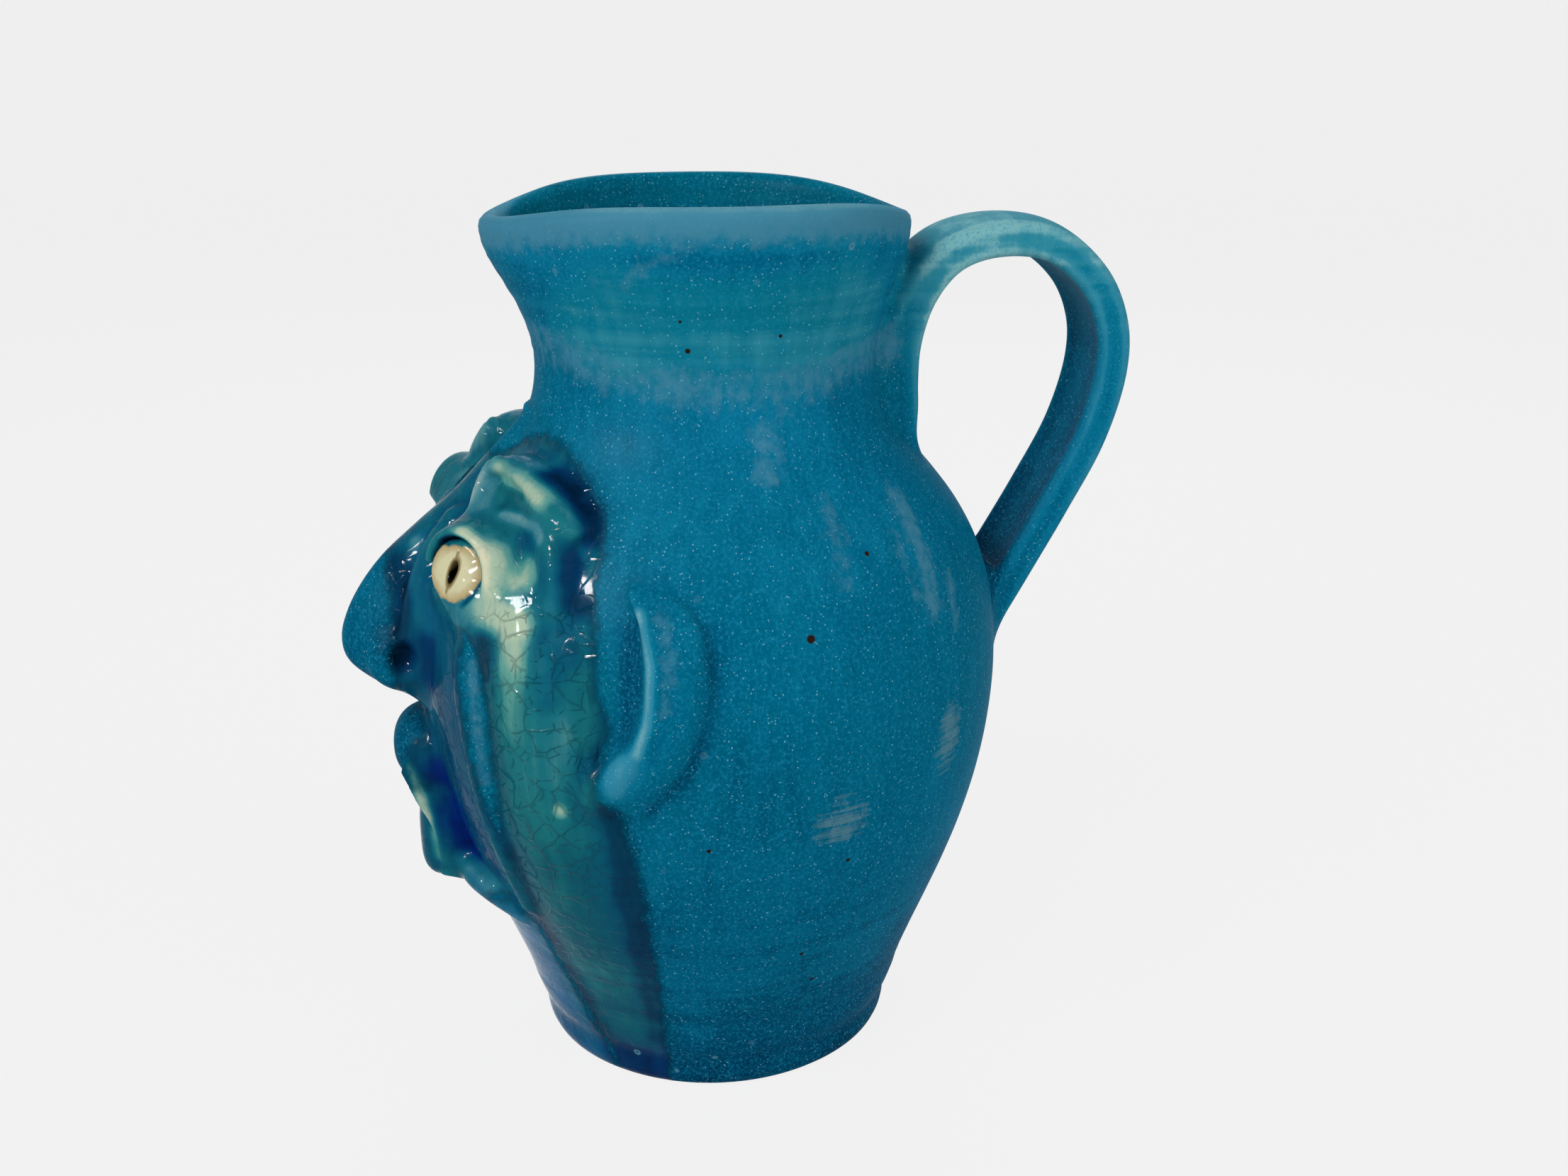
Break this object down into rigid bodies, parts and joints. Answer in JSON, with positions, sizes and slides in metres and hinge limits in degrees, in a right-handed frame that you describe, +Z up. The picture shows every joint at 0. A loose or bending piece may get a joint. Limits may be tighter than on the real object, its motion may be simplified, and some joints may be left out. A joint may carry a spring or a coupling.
{
  "type": "face jug",
  "caption": "Stoneware face jug with a bellied thrown body, flared pouring rim, strap handle and a modelled grotesque face, in turquoise and cobalt glaze.",
  "frame": {"origin": "centre of the flat foot, on the axis the body was thrown on", "axes": "+Z up along the body's axis, -Y the way the face looks, +Y towards the handle, +X to the face's own left"},
  "size_m": [0.1788, 0.2283, 0.25],
  "materials": {
    "turquoise_glaze": "satin copper turquoise stoneware glaze with fine pale speckle",
    "strap_glaze": "satin turquoise stoneware glaze, thinner and paler on the strap's edges",
    "cobalt_glaze": "glossy cobalt and turquoise glaze that pools dark in the hollows",
    "celadon_glaze": "glossy crackled pale green glaze",
    "ivory_glaze": "ivory slip under a clear glaze"
  },
  "bodies": {
    "root": {"thrown_body": "turquoise_glaze", "handle": "strap_glaze", "nose": "cobalt_glaze", "upper_lip": "cobalt_glaze", "lower_lip": "cobalt_glaze", "left_eye_stub": "ivory_glaze", "left_eye_lid": "celadon_glaze", "left_lid_fold": "cobalt_glaze", "left_brow": "celadon_glaze", "left_cheek": "celadon_glaze", "left_cheek_fold": "turquoise_glaze", "left_ear": "turquoise_glaze", "right_eye_stub": "ivory_glaze", "right_eye_lid": "celadon_glaze", "right_lid_fold": "cobalt_glaze", "right_brow": "celadon_glaze", "right_cheek": "celadon_glaze", "right_cheek_fold": "turquoise_glaze", "right_ear": "turquoise_glaze"}
  },
  "joints": []
}
